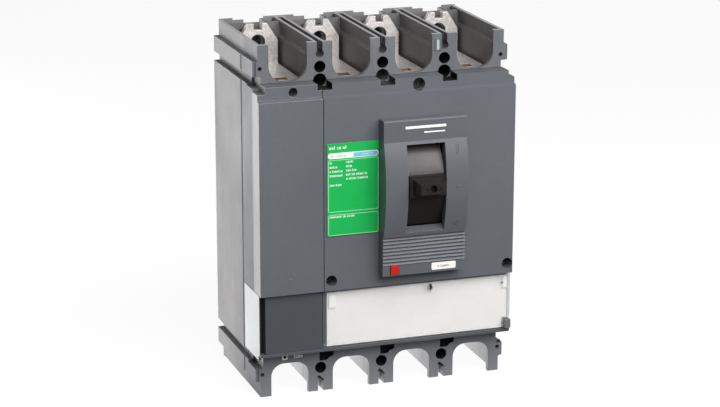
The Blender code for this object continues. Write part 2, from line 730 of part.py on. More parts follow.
def drive_link():
    """Pair of links with their riveted pins, from yoke to contact shaft."""
    py, pz = crank_pin()
    top = (PIVOT[0] + py, PIVOT[1] + pz)
    low = (SHAFT[0] + py, SHAFT[1] + pz)
    heading = math.degrees(math.atan2(low[1] - top[1], low[0] - top[0]))
    shape = [*arc(low, 3.6, heading - 90, heading + 90, 8),
             *arc(top, 3.6, heading + 90, heading + 270, 8)]
    x = HANDLE_X
    link = plate("drive_link", "X", shape, x - 11.4, x - 9.3, PAINT["steel"])
    fuse(link, plate("other", "X", shape, x + 9.3, x + 11.4))
    fuse(link, rod("knee_pin", "X", top, 2.0, x - 16.3, x + 16.3, sides=14))
    fuse(link, rod("pin", "X", low, 2.0, x - 10, x - 6.3, sides=14))
    fuse(link, rod("pin", "X", low, 2.0, x + 6.3, x + 10, sides=14))
    bake(link)
    tilt(link, low, 0.0)
    return link


TRIP_AXIS = (-100.0, -22.0)


def side_plate(side, name):
    """Steel cheek of the mechanism, outside the handle shield."""
    outline = [(-92, 58), (-104, 40), (-104, -27), (-88, -27), (-57, -8),
               (-57, 40), (-66, 58)]
    holes = [circle(PIVOT, 2.3, 14), circle(TRIP_AXIS, 2.8, 14)]
    xs = sorted((HANDLE_X + side * 16.6, HANDLE_X + side * 18.4))
    return plate(name, "X", outline, xs[0], xs[1], PAINT["steel"], holes)


def pivot_pin():
    return rod("pivot_pin", "X", PIVOT, 2.0, HANDLE_X - 19.1, HANDLE_X + 19.1,
               PAINT["steel"], sides=16)


def trip_bar():
    """Trip shaft behind the cover, with a paddle for the push button."""
    y, z = TRIP_AXIS
    bar = rod("trip_bar", "X", TRIP_AXIS, 2.5, -2.6, 42.0, PAINT["rotor"], sides=16)
    fuse(bar, box("paddle", (-1.4, 3.7), (y - 2.9, y - 0.8), (z - 15.5, z + 1)))
    fuse(bar, box("tongue", (20, 25), (y, y + 6), (z - 1.2, z + 1.2)))
    bake(bar)
    tilt(bar, TRIP_AXIS, 0.0)
    return bar


def main_spring(side, name):
    """Helical tension spring from the yoke bar to the knee pin."""
    py, pz = crank_pin()
    knee = Vector((PIVOT[0] + py, PIVOT[1] + pz))
    hook = Vector(turned((PIVOT[0] - 29.2, PIVOT[1])))
    along = (knee - hook).normalized()
    across = Vector((-along.y, along.x))
    start, end = hook + along * 1.2, knee - along * 3.2
    x = HANDLE_X + side * 5.6
    curve = bpy.data.curves.new(name, "CURVE")
    curve.dimensions = "3D"
    curve.bevel_depth = 0.45 * MM
    curve.bevel_resolution = 1
    curve.use_fill_caps = True
    spots = [(x, *start)]
    coil_from, coil_to = start + along * 5, end - along * 5
    steps, turns, radius = 64, 8, 2.6
    for i in range(steps + 1):
        t = i / steps
        a = 2 * math.pi * turns * t
        grow = radius * min(1.0, 8 * t, 8 * (1 - t))
        mid = coil_from.lerp(coil_to, t) + across * grow * math.cos(a)
        spots.append((x + grow * math.sin(a), *mid))
    spots.append((x, *end))
    spline = curve.splines.new("POLY")
    spline.points.add(len(spots) - 1)
    for point, spot in zip(spline.points, spots):
        point.co = (*(Vector(spot) * MM), 1.0)
    holder = bpy.data.objects.new(name, curve)
    bpy.context.scene.collection.objects.link(holder)
    graph = bpy.context.evaluated_depsgraph_get()
    mesh = bpy.data.meshes.new_from_object(holder.evaluated_get(graph))
    bpy.data.objects.remove(holder, do_unlink=True)
    bm = bmesh.new()
    bm.from_mesh(mesh)
    bmesh.ops.remove_doubles(bm, verts=bm.verts, dist=1e-6)
    bmesh.ops.recalc_face_normals(bm, faces=bm.faces)
    bm.to_mesh(mesh)
    bm.free()
    return put(name, mesh, PAINT["spring"])


# =========================================================================
#  assembly
# =========================================================================
clear_scene()
PARTS = new_collection("moulded_case_breaker")
CUTTERS = new_collection("cutters")
PAINT = {
    "case": material("case_grey", (0.165, 0.170, 0.180), 0.55),
    "cover": material("cover_grey", (0.150, 0.165, 0.180), 0.50),
    "block": material("block_grey", (0.200, 0.210, 0.220), 0.50),
    "panel": material("panel_dark_grey", (0.080, 0.090, 0.105), 0.50),
    "frame": material("frame_grey", (0.140, 0.155, 0.170), 0.45),
    "clear": material("clear_plastic", (0.90, 0.92, 0.93), 0.10, 0.0, 0.25),
    "white": material("white_plastic", (0.82, 0.80, 0.77), 0.45),
    "green": material("green_label", (0.0, 0.48, 0.09), 0.40),
    "red": material("red_plastic", (0.62, 0.03, 0.02), 0.40),
    "handle": material("handle_brown_black", (0.035, 0.027, 0.025), 0.42),
    "shield": material("shield_brown_black", (0.050, 0.040, 0.038), 0.45),
    "screw": material("dark_screw_steel", (0.12, 0.12, 0.13), 0.35, 1.0),
    "tin": material("tinned_copper", (0.66, 0.61, 0.55), 0.35, 1.0),
    "steel": material("zinc_steel", (0.50, 0.52, 0.55), 0.35, 1.0),
    "spring": material("spring_steel", (0.32, 0.32, 0.34), 0.30, 1.0),
    "copper": material("bare_copper", (0.60, 0.27, 0.15), 0.35, 1.0),
    "rotor": material("rotor_black_plastic", (0.03, 0.03, 0.032), 0.50),
    "chute": material("chute_steel_and_fibre", (0.30, 0.28, 0.26), 0.45, 0.6),
}


def build():
    for part in (rear_case(), front_case(), main_cover(), neutral_cover(),
                 trip_block(), escutcheon()):
        bake(part)
    neutral_panel()
    blank_plate()
    clear_cover()
    trip_button()
    rating_plate()
    label_plate()
    for i in range(4):
        smooth(cover_screw(i))
    for x, pole in zip(POLES, POLE_NAMES):
        line_terminal(x, "line_terminal_" + pole)
        load_terminal(x, "load_terminal_" + pole)
        terminal_nut(x, BOLT_Z, "line_nut_" + pole)
        terminal_nut(x, -BOLT_Z, "load_nut_" + pole)
        contact_bridge(x, "contact_bridge_" + pole)
    smooth(contact_shaft())
    arc_chutes()
    toggle_handle()
    smooth(toggle_shield())
    toggle_yoke()
    drive_link()
    side_plate(-1, "side_plate_left")
    side_plate(1, "side_plate_right")
    smooth(pivot_pin())
    trip_bar()
    smooth(main_spring(-1, "main_spring_left"))
    smooth(main_spring(1, "main_spring_right"))


build()
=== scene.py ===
"""Looks of the four-pole moulded-case breaker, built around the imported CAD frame."""
import math

import bmesh
import bpy
from mathutils import Matrix, Vector


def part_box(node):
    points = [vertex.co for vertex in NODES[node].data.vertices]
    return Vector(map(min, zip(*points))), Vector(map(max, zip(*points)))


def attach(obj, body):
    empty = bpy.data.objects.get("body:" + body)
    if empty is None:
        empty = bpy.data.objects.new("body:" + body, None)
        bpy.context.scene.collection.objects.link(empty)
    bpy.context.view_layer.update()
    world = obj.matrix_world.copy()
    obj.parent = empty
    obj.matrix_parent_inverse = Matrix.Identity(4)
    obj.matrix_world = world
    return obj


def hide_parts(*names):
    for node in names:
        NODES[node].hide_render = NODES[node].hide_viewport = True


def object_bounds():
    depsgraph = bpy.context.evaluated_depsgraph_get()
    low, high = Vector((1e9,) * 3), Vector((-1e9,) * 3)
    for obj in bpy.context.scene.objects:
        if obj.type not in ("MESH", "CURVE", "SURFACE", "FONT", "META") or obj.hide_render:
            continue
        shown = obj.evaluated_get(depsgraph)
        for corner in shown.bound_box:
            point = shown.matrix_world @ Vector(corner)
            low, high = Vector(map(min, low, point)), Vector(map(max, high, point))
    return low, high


MM = 0.001
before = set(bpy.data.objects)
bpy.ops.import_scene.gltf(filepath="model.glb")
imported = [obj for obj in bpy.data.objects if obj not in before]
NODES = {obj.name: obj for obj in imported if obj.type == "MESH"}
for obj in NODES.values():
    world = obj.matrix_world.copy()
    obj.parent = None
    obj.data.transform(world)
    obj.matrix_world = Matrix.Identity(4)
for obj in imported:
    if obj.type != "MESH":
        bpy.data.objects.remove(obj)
CAD_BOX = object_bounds()
# Centres of the poles and of the walls between them.
POLES = {"n": -67.5, "l1": -22.5, "l2": 22.5, "l3": 67.5}
JUNCTIONS = (-45.0, 0.0, 45.0)
# Faces that small mouldings and prints stand on.
BAY_FRONT = -95.5
SURROUND_FRONT = -120.0
FLAP_FRONT = -105.8
# Radius and axis (y, z) of the curved front of the handle surround.
SURROUND_RADIUS = 109.0
SURROUND_AXIS = (-16.2, 23.5)
# Outer left face, top rims of the bay walls, and where the bays begin.
LEFT_FACE = -92.0
RIM_HEIGHT = 124.3
BAY_START = 91.0
BAY_HALF_SPAN = 88.5
# A face looks left when the x part of its normal is below this.
FACING_LEFT = -0.7


def corners(node):
    """Lowest and highest corner of a CAD node, in millimetres."""
    low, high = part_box(node)
    return Vector(low) / MM, Vector(high) / MM


# =========================================================================
#  mesh helpers (arguments in millimetres)
# =========================================================================
PIECES = bpy.data.collections.new("pieces")
TOOLS = bpy.data.collections.new("tools")
bpy.context.scene.collection.children.link(PIECES)
bpy.context.scene.collection.children.link(TOOLS)

AXES = {
    "X": Matrix(((0, 0, 1), (1, 0, 0), (0, 1, 0))).to_4x4(),
    "Y": Matrix(((1, 0, 0), (0, 0, -1), (0, 1, 0))).to_4x4(),
    "Z": Matrix.Identity(4),
}


def to_mesh(bm, name):
    mesh = bpy.data.meshes.new(name)
    bmesh.ops.recalc_face_normals(bm, faces=bm.faces)
    bm.to_mesh(mesh)
    bm.free()
    return mesh


def place_prism(axis, lo, hi):
    """Matrix that lays a prism drawn about z = 0 along an axis."""
    middle = (lo + hi) / 2
    shift = -middle if axis == "Y" else middle
    return AXES[axis] @ Matrix.Translation((0, 0, shift * MM))


def add_rod(bm, axis, centre, radius, lo, hi, sides=32, tip=None):
    tip = radius if tip is None else tip
    matrix = place_prism(axis, lo, hi)
    matrix = matrix @ Matrix.Translation((centre[0] * MM, centre[1] * MM, 0))
    bmesh.ops.create_cone(
        bm, cap_ends=True, segments=sides, radius1=radius * MM,
        radius2=tip * MM, depth=(hi - lo) * MM, matrix=matrix)


def rod_mesh(name, axis, centre, radius, lo, hi, sides=32, tip=None):
    bm = bmesh.new()
    add_rod(bm, axis, centre, radius, lo, hi, sides, tip)
    return to_mesh(bm, name)


def plate_mesh(name, axis, outlines, lo, hi):
    """Flat outline with optional holes, thickened along an axis."""
    curve = bpy.data.curves.new(name, "CURVE")
    curve.dimensions = "2D"
    curve.fill_mode = "BOTH"
    curve.extrude = (hi - lo) / 2 * MM
    for outline in outlines:
        spline = curve.splines.new("POLY")
        spline.points.add(len(outline) - 1)
        for point, (u, v) in zip(spline.points, outline):
            point.co = (u * MM, v * MM, 0.0, 1.0)
        spline.use_cyclic_u = True
    mesh = curve_to_mesh(curve)
    bm = bmesh.new()
    bm.from_mesh(mesh)
    bmesh.ops.remove_doubles(bm, verts=bm.verts, dist=1e-6)
    bmesh.ops.transform(bm, matrix=place_prism(axis, lo, hi), verts=bm.verts)
    bmesh.ops.dissolve_limit(bm, angle_limit=0.002, verts=bm.verts, edges=bm.edges)
    return to_mesh(bm, name)


def curve_to_mesh(curve):
    holder = bpy.data.objects.new(curve.name, curve)
    bpy.context.scene.collection.objects.link(holder)
    graph = bpy.context.evaluated_depsgraph_get()
    mesh = bpy.data.meshes.new_from_object(holder.evaluated_get(graph))
    bpy.data.objects.remove(holder, do_unlink=True)
    return mesh


def arc(centre, radius, start, end, steps):
    turns = [start + (end - start) * i / steps for i in range(steps + 1)]
    return [(centre[0] + radius * math.cos(math.radians(t)),
             centre[1] + radius * math.sin(math.radians(t))) for t in turns]


def circle(centre, radius, sides=32):
    return arc(centre, radius, 0.0, 360.0 * (sides - 1) / sides, sides - 1)


def rounded(x0, x1, z0, z1, radius, steps=5):
    """Outline of a rectangle with round corners."""
    shape = []
    for cx, cz, start in ((x1 - radius, z1 - radius, 0), (x0 + radius, z1 - radius, 90),
                          (x0 + radius, z0 + radius, 180),
                          (x1 - radius, z0 + radius, 270)):
        shape += arc((cx, cz), radius, start, start + 90, steps)
    return shape


def tool(mesh):
    """A cutter or adder for Booleans, never shown."""
    made = bpy.data.objects.new(mesh.name, mesh)
    TOOLS.objects.link(made)
    made.hide_render = True
    return made


def combine(mesh, steps):
    """Apply a list of (operation, mesh) Booleans and return the result."""
    base = tool(mesh)
    others = []
    for operation, other in steps:
        step = base.modifiers.new("step", "BOOLEAN")
        step.operation = operation
        step.solver = "EXACT"
        step.object = tool(other)
        others.append(step.object)
    graph = bpy.context.evaluated_depsgraph_get()
    graph.update()
    made = bpy.data.meshes.new_from_object(base.evaluated_get(graph))
    for old in (base, *others):
        bpy.data.objects.remove(old, do_unlink=True)
    return made


def cut(*meshes):
    return [("DIFFERENCE", mesh) for mesh in meshes]


def clean(mesh, angle=0.01):
    """Weld, merge coplanar faces and make every face smooth."""
    bm = bmesh.new()
    bm.from_mesh(mesh)
    bmesh.ops.remove_doubles(bm, verts=bm.verts, dist=2e-6)
    bmesh.ops.dissolve_degenerate(bm, dist=2e-6, edges=bm.edges)
    bmesh.ops.dissolve_limit(bm, angle_limit=angle, verts=bm.verts, edges=bm.edges)
    bmesh.ops.recalc_face_normals(bm, faces=bm.faces)
    for face in bm.faces:
        face.smooth = True
    bm.to_mesh(mesh)
    bm.free()
    if "custom_normal" in mesh.attributes:
        mesh.attributes.remove(mesh.attributes["custom_normal"])
    return mesh


def piece(name, mesh, paint, body, replaced=(), bevel=0.0, steps=2,
          angle=32.0, edge_wear_and_highlight=None, choose=None):
    """Show a mesh as a part of the object, riding on a CAD body.

    choose(centre, normal) gives the number of the paint for each face, and
    edge_wear_and_highlight is the lighter paint of the rounded edges: a painted highlight,
    with some wear.
    """
    made = bpy.data.objects.new(name, clean(mesh))
    PIECES.objects.link(made)
    paints = list(paint) if isinstance(paint, (list, tuple)) else [paint]
    mesh.materials.clear()
    for one in paints + ([edge_wear_and_highlight] if edge_wear_and_highlight else []):
        mesh.materials.append(one)
    for face in mesh.polygons:
        face.material_index = choose(face.center / MM, face.normal) if choose else 0
        face.use_smooth = bool(bevel)
    if bevel:
        edge = made.modifiers.new("edge", "BEVEL")
        edge.width = bevel * MM
        edge.segments = steps
        edge.limit_method = "ANGLE"
        edge.angle_limit = math.radians(angle)
        edge.miter_outer = "MITER_ARC"
        edge.use_clamp_overlap = True
        edge.material = len(paints) if edge_wear_and_highlight else -1
        even = made.modifiers.new("normals", "WEIGHTED_NORMAL")
        even.keep_sharp = True
        even.weight = 80
    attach(made, body)
    if replaced:
        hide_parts(*replaced)
    return made


def cad_mesh(node):
    """A working copy of a CAD node's mesh."""
    mesh = NODES[node].data.copy()
    mesh.materials.clear()
    return mesh


# =========================================================================
#  materials
# =========================================================================
class Nodes:
    """Small helper that adds and wires shader nodes."""

    def __init__(self, name):
        self.material = bpy.data.materials.new(name)
        self.material.use_nodes = True
        self.tree = self.material.node_tree
        self.shader = self.tree.nodes["Principled BSDF"]
        self.output = self.tree.nodes["Material Output"]
        self.coord = self.add("ShaderNodeTexCoord").outputs["Object"]

    def add(self, kind, **settings):
        made = self.tree.nodes.new(kind)
        for key, value in settings.items():
            setattr(made, key, value)
        return made

    def link(self, a, b):
        self.tree.links.new(a, b)

    def stretched(self, scale):
        made = self.add("ShaderNodeMapping")
        made.inputs["Scale"].default_value = scale
        self.link(self.coord, made.inputs["Vector"])
        return made.outputs["Vector"]

    def noise(self, scale, detail=3.0, roughness=0.55, vector=None):
        made = self.add("ShaderNodeTexNoise")
        made.inputs["Scale"].default_value = scale
        made.inputs["Detail"].default_value = detail
        made.inputs["Roughness"].default_value = roughness
        self.link(vector or self.coord, made.inputs["Vector"])
        return made.outputs["Fac"]

    def spots(self, scale):
        made = self.add("ShaderNodeTexVoronoi")
        made.inputs["Scale"].default_value = scale
        self.link(self.coord, made.inputs["Vector"])
        return made.outputs["Distance"]

    def remap(self, value, lo, hi, out_lo, out_hi):
        made = self.add("ShaderNodeMapRange")
        made.inputs["From Min"].default_value = lo
        made.inputs["From Max"].default_value = hi
        made.inputs["To Min"].default_value = out_lo
        made.inputs["To Max"].default_value = out_hi
        self.link(value, made.inputs["Value"])
        return made.outputs["Result"]

    def math(self, operation, a, b):
        made = self.add("ShaderNodeMath", operation=operation)
        for socket, value in zip(made.inputs, (a, b)):
            if isinstance(value, float):
                socket.default_value = value
            else:
                self.link(value, socket)
        return made.outputs[0]

    def blend(self, factor, a, b):
        made = self.add("ShaderNodeMix", data_type="RGBA")
        self.link(factor, made.inputs["Factor"])
        for socket, value in ((made.inputs[6], a), (made.inputs[7], b)):
            if isinstance(value, tuple):
                socket.default_value = (*value, 1.0)
            else:
                self.link(value, socket)
        return made.outputs[2]

    def bump(self, height, strength, distance):
        made = self.add("ShaderNodeBump")
        made.inputs["Strength"].default_value = strength
        made.inputs["Distance"].default_value = distance
        self.link(height, made.inputs["Height"])
        self.link(made.outputs["Normal"], self.shader.inputs["Normal"])

    def set(self, **values):
        names = {"colour": "Base Color", "rough": "Roughness", "metal": "Metallic",
                 "specular": "Specular IOR Level"}
        for key, value in values.items():
            socket = self.shader.inputs[names[key]]
            if isinstance(value, (float, int)):
                socket.default_value = value
            elif isinstance(value, tuple):
                socket.default_value = (*value, 1.0)
            else:
                self.link(value, socket)


def shade(colour, factor):
    return tuple(min(1.0, c * factor) for c in colour)


def moulded(name, colour, rough=0.5, vary=0.10, grain=0.10, specks=0.0,
            tint=None, specular=0.5, behind=None):
    """Moulded plastic: soft cloudy tone, fine spark grain, rubbed patches.

    behind = (y, colour) gives everything behind a depth its own colour.
    """
    n = Nodes(name)
    cloud = n.noise(14.0, 5.0, 0.6)
    base = n.blend(n.remap(cloud, 0.32, 0.68, 0.0, 1.0), shade(colour, 1 - vary),
                   shade(tint or colour, 1 + vary))
    fine = n.noise(420.0, 2.0)
    base = n.blend(n.remap(fine, 0.35, 0.65, 0.0, 0.35), base,
                   shade(colour, 1 - min(0.14, 2 * vary)))
    if specks:
        dots = n.remap(n.spots(160.0), 0.0, 0.12, specks, 0.0)
        base = n.blend(dots, base, shade(colour, 1.9))
    if behind:
        depth = n.add("ShaderNodeSeparateXYZ")
        n.link(n.coord, depth.inputs[0])
        past = n.remap(depth.outputs["Y"], behind[0], behind[0] + 0.0004, 0.0, 1.0)
        base = n.blend(past, base, behind[1])
    rub = n.noise(30.0, 4.0, 0.65, n.stretched((1.0, 1.0, 0.35)))
    n.set(colour=base, specular=specular,
          rough=n.remap(rub, 0.3, 0.7, rough - 0.06, rough + 0.08))
    n.bump(n.noise(1500.0, 2.0), grain, 0.0002)
    return n.material


def plated(name, colour, rough, vary=0.12, metal=1.0, patch=None, brush=0.25,
           grain=0.06):
    """Plated or bare metal: cloudy plating, drawn lines, small pits."""
    n = Nodes(name)
    cloud = n.noise(60.0, 6.0, 0.7)
    base = n.blend(n.remap(cloud, 0.35, 0.65, 0.0, 1.0), shade(colour, 1 - vary),
                   shade(colour, 1 + vary))
    if patch:
        base = n.blend(n.remap(n.noise(22.0, 3.0), 0.5, 0.72, 0.0, 0.7), base, patch)
    lines = n.noise(90.0, 4.0, 0.7, n.stretched((1.0, 1.0, 14.0)))
    n.set(colour=base, metal=metal,
          rough=n.remap(n.math("ADD", n.math("MULTIPLY", lines, brush), cloud),
                        0.4, 0.9, rough - 0.08, rough + 0.14))
    n.bump(n.math("ADD", lines, n.noise(900.0, 2.0)), grain, 0.0002)
    return n.material


def printed(name, colour, rough=0.45, vary=0.05):
    """Ink or film: even colour with faint mottling and a slight orange peel."""
    n = Nodes(name)
    cloud = n.noise(55.0, 3.0)
    n.set(colour=n.blend(n.remap(cloud, 0.3, 0.7, 0.0, 1.0), shade(colour, 1 - vary),
                         shade(colour, 1 + vary)),
          rough=n.remap(n.noise(120.0, 2.0), 0.3, 0.7, rough - 0.05, rough + 0.06))
    n.bump(n.noise(700.0, 1.0), 0.05, 0.0001)
    return n.material


def tinned(name):
    """Dull tin plating over copper: sparkling grain, cloudy stains, drawn lines."""
    n = Nodes(name)
    cloud = n.noise(55.0, 6.0, 0.7)
    base = n.blend(n.remap(cloud, 0.35, 0.65, 0.0, 1.0), (0.54, 0.49, 0.46),
                   (0.82, 0.78, 0.76))
    base = n.blend(n.remap(n.noise(20.0, 3.0), 0.52, 0.74, 0.0, 0.6), base,
                   (0.55, 0.44, 0.35))
    spark = n.noise(1100.0, 3.0, 0.75)
    base = n.blend(n.remap(spark, 0.42, 0.66, 0.0, 0.75), base, (0.98, 0.98, 0.98))
    base = n.blend(n.remap(spark, 0.40, 0.28, 0.0, 0.7), base, (0.30, 0.28, 0.27))
    lines = n.noise(90.0, 4.0, 0.7, n.stretched((1.0, 1.0, 14.0)))
    n.set(colour=base, metal=0.55,
          rough=n.remap(n.math("ADD", n.math("MULTIPLY", lines, 0.3), spark),
                        0.45, 0.85, 0.34, 0.58))
    n.bump(n.math("ADD", lines, spark), 0.25, 0.0002)
    return n.material


def clear(name, least, most):
    """Thin clear plastic: see-through face, brighter and hazier edges."""
    n = Nodes(name)
    n.tree.nodes.remove(n.shader)
    edge = n.add("ShaderNodeLayerWeight")
    edge.inputs["Blend"].default_value = 0.25
    haze = n.remap(n.noise(35.0, 3.0), 0.3, 0.7, least - 0.02, least + 0.02)
    amount = n.math("ADD", n.math("MULTIPLY", edge.outputs["Facing"], most), haze)
    through = n.add("ShaderNodeBsdfTransparent")
    through.inputs["Color"].default_value = (0.985, 0.99, 0.99, 1.0)
    gloss = n.add("ShaderNodeBsdfPrincipled")
    gloss.inputs["Base Color"].default_value = (0.86, 0.87, 0.88, 1.0)
    n.link(n.remap(n.noise(80.0, 2.0), 0.3, 0.7, 0.06, 0.16), gloss.inputs["Roughness"])
    mix = n.add("ShaderNodeMixShader")
    n.link(amount, mix.inputs["Fac"])
    n.link(through.outputs[0], mix.inputs[1])
    n.link(gloss.outputs[0], mix.inputs[2])
    n.link(mix.outputs[0], n.output.inputs["Surface"])
    return n.material


GREY_CASE = (0.126, 0.134, 0.149)
GREY_REAR = (0.195, 0.190, 0.196)
GREY_COVER = (0.116, 0.124, 0.139)
GREY_FRAME = (0.110, 0.118, 0.132)

# The *_edge paints are lighter copies of their materials for the rounded edges: painted
# highlight, with some wear.
PAINT = {
    "case": moulded("case_grey", GREY_CASE, 0.55, 0.12, 0.14, 0.05,
                    (0.150, 0.152, 0.162)),
    "case_edge": moulded("case_grey_edge", shade(GREY_CASE, 1.9), 0.36, 0.22, 0.05),
    "rear": moulded("rear_case_grey", GREY_REAR, 0.58, 0.20, 0.16, 0.10,
                    (0.225, 0.212, 0.214)),
    "rear_edge": moulded("rear_case_edge", shade(GREY_REAR, 1.7), 0.38, 0.25, 0.05),
    "cover": moulded("cover_grey", GREY_COVER, 0.50, 0.06, 0.10, 0.04),
    "cover_edge": moulded("cover_grey_edge", shade(GREY_COVER, 1.7), 0.34, 0.20, 0.04),
    # Top faces of the rims: lighter paint, a painted highlight.
    "rim": moulded("rim_painted_highlight", (0.46, 0.46, 0.48), 0.20, 0.10, 0.04, specular=1.0),
    "bay": moulded("bay_wall", (0.135, 0.128, 0.128), 0.52, 0.22, 0.12, 0.05),
    # Lighter paint on faces that look left: painted reflection of the bright room.
    "bay_low_reflection": moulded("bay_wall_painted_reflection", (0.33, 0.33, 0.345), 0.32, 0.12, 0.06,
                       specular=0.6),
    # Darker ledges in the bays: painted shade.
    "bay_dark": moulded("bay_ledge_painted_shade", (0.085, 0.080, 0.080), 0.60, 0.15, 0.12,
                        specular=0.2),
    # Near-black paints in hollows, holes and gaps: painted shade.
    "recess": moulded("shaded_recess", (0.045, 0.050, 0.056), 0.6, 0.1, 0.1,
                      specular=0.3),
    "lug": moulded("lug_grey", (0.15, 0.155, 0.155), 0.42, 0.2, 0.06),
    # Lighter left side of the covers: painted reflection.
    "cover_side_reflection": moulded("cover_side_reflection", (0.19, 0.185, 0.198), 0.34, 0.06, 0.04,
                          specular=0.4, behind=(-0.0990, GREY_CASE)),
    # Lighter left side of the trip block: painted reflection.
    "block_side_reflection": moulded("block_side_reflection", (0.38, 0.39, 0.41), 0.30, 0.04, 0.03,
                         specular=0.7),
    "band": moulded("band_grey", (0.085, 0.089, 0.098), 0.50, 0.08, 0.10),
    "panel": moulded("panel_dark_grey", (0.064, 0.070, 0.081), 0.50, 0.08, 0.08),
    "panel_edge": moulded("panel_edge", (0.12, 0.13, 0.145), 0.36, 0.2, 0.04),
    "frame": moulded("frame_grey", GREY_FRAME, 0.40, 0.06, 0.05),
    "frame_edge": moulded("frame_grey_edge", shade(GREY_FRAME, 1.9), 0.30, 0.15, 0.03),
    # Near-black: painted shade in holes, recesses and gaps.
    "dark_shade": moulded("deep_painted_shade", (0.012, 0.012, 0.014), 0.70, 0.2, 0.1,
                      specular=0.2),
    "white": moulded("white_plastic", (0.955, 0.92, 0.895), 0.45, 0.012, 0.0),
    "frosted": moulded("frosted_plastic", (0.97, 0.97, 0.97), 0.30, 0.01, 0.02),
    "red": moulded("red_plastic", (0.60, 0.016, 0.008), 0.38, 0.10, 0.03,
                   specular=0.3),
    "handle": moulded("handle_brown_black", (0.012, 0.008, 0.007), 0.36, 0.16, 0.05),
    "handle_edge": moulded("handle_edge", (0.060, 0.046, 0.044), 0.26, 0.2, 0.04),
    "shield": moulded("shield_brown_black", (0.010, 0.006, 0.005), 0.42, 0.3, 0.05,
                      specular=0.35),
    # Lighter, mottled upper apron of the handle: painted sheen from the light above.
    "shield_top": moulded("shield_top_painted_sheen", (0.040, 0.029, 0.031), 0.38, 0.35, 0.05,
                          0.0, (0.055, 0.043, 0.045)),
    "shield_edge": moulded("shield_edge", (0.30, 0.24, 0.24), 0.30, 0.2, 0.04),
    "rotor": moulded("rotor_black_plastic", (0.030, 0.030, 0.033), 0.52, 0.15, 0.12),
    "green": printed("green_label", (0.0, 0.44, 0.080), 0.50, 0.05),
    "mint": printed("mint_print", (0.30, 0.80, 0.42), 0.45),
    "ink": printed("white_print", (0.92, 0.95, 0.92), 0.45),
    "blue": printed("blue_print", (0.20, 0.55, 0.86), 0.45, 0.25),
    "dark_ink": printed("grey_print", (0.10, 0.10, 0.11), 0.50),
    "pale_ink": printed("pale_grey_print", (0.45, 0.50, 0.48), 0.50),
    "tin": tinned("tinned_copper"),
    "raw": plated("cut_copper_edge", (0.30, 0.19, 0.12), 0.45, 0.25, 0.7),
    "steel": plated("zinc_steel", (0.50, 0.54, 0.60), 0.34, 0.12),
    "zinc": plated("blue_zinc", (0.45, 0.56, 0.60), 0.28, 0.25, 0.85),
    "screw": plated("dark_screw_steel", (0.10, 0.10, 0.11), 0.38, 0.2),
    "spring": plated("spring_steel", (0.32, 0.32, 0.34), 0.30, 0.1),
    "copper": plated("bare_copper", (0.62, 0.29, 0.16), 0.34, 0.14),
    "chute": plated("chute_steel_and_fibre", (0.34, 0.31, 0.28), 0.45, 0.2, 0.6),
    "clear": clear("clear_plastic", 0.05, 0.55),
    "clear_edge": clear("clear_plastic_edge", 0.45, 0.55),
}


# =========================================================================
#  housing, from the CAD shapes with real edges
# =========================================================================
def left_side(centre, normal):
    """Paint 1 for the outer face of the left side, lighter as painted reflection; 0
    elsewhere.
    """
    return 1 if normal.x < -0.9 and centre.x < LEFT_FACE else 0


def rear_faces(centre, normal):
    """1 top faces of the rims, lighter as painted highlight, 2 bay walls, 3 ledges,
    darkened as painted shade, 4 walls of the lower bays facing left, lighter as painted
    reflection.
    """
    if normal.z > 0.9 and centre.z > RIM_HEIGHT:
        return 1
    inside = (abs(centre.x) < BAY_HALF_SPAN and abs(centre.z) > BAY_START
              and centre.y < -1.7)
    if inside and centre.z < 0 and normal.x < FACING_LEFT:
        return 4
    return 2 if inside and abs(normal.z) < 0.99 else (3 if inside else 0)


def front_faces(centre, normal):
    """As rear_faces, but 4 deep in the round holes and the recesses beside them,
    near-black as painted shade, 5 lower walls facing left, lighter as painted reflection.
    """
    if normal.z > 0.9 and centre.z > RIM_HEIGHT:
        return 1
    if centre.y > -95.3:
        for x in JUNCTIONS:
            spots = ((98.0, 5.2), (107.4, 4.4), (-107.4, 4.4))
            for z, radius in spots[0 if x else 1:]:
                if math.hypot(centre.x - x, centre.z - z) < radius:
                    return 4
            if -1.0 < centre.x - x < 9.8 and -102.6 < centre.z < -95.8:
                return 4
    if centre.y > -95.0 and abs(centre.z) > 96.0 and abs(centre.x) < BAY_HALF_SPAN:
        return 5 if centre.z < 0 and normal.x < FACING_LEFT else 2
    return 0


def cover_faces(centre, normal):
    """1 on the left side, lighter as painted reflection, 2 inside the two deep recesses of
    the top band and 3 inside the middle one, both darkened as painted shade.
    """
    if centre.z > 93.6 and centre.y > -106.9:
        for x in (-45.0, 45.0):
            if abs(centre.x - x) < 5.4:
                return 2
        if abs(centre.x) < 5.4:
            return 3
    return left_side(centre, normal)


def block_faces(centre, normal):
    """1 on the left side, lighter as painted reflection, 2 on the hinge lug."""
    if centre.x > 87.9 and centre.z > -88.8 and centre.y < -102.9:
        return 2
    return left_side(centre, normal)


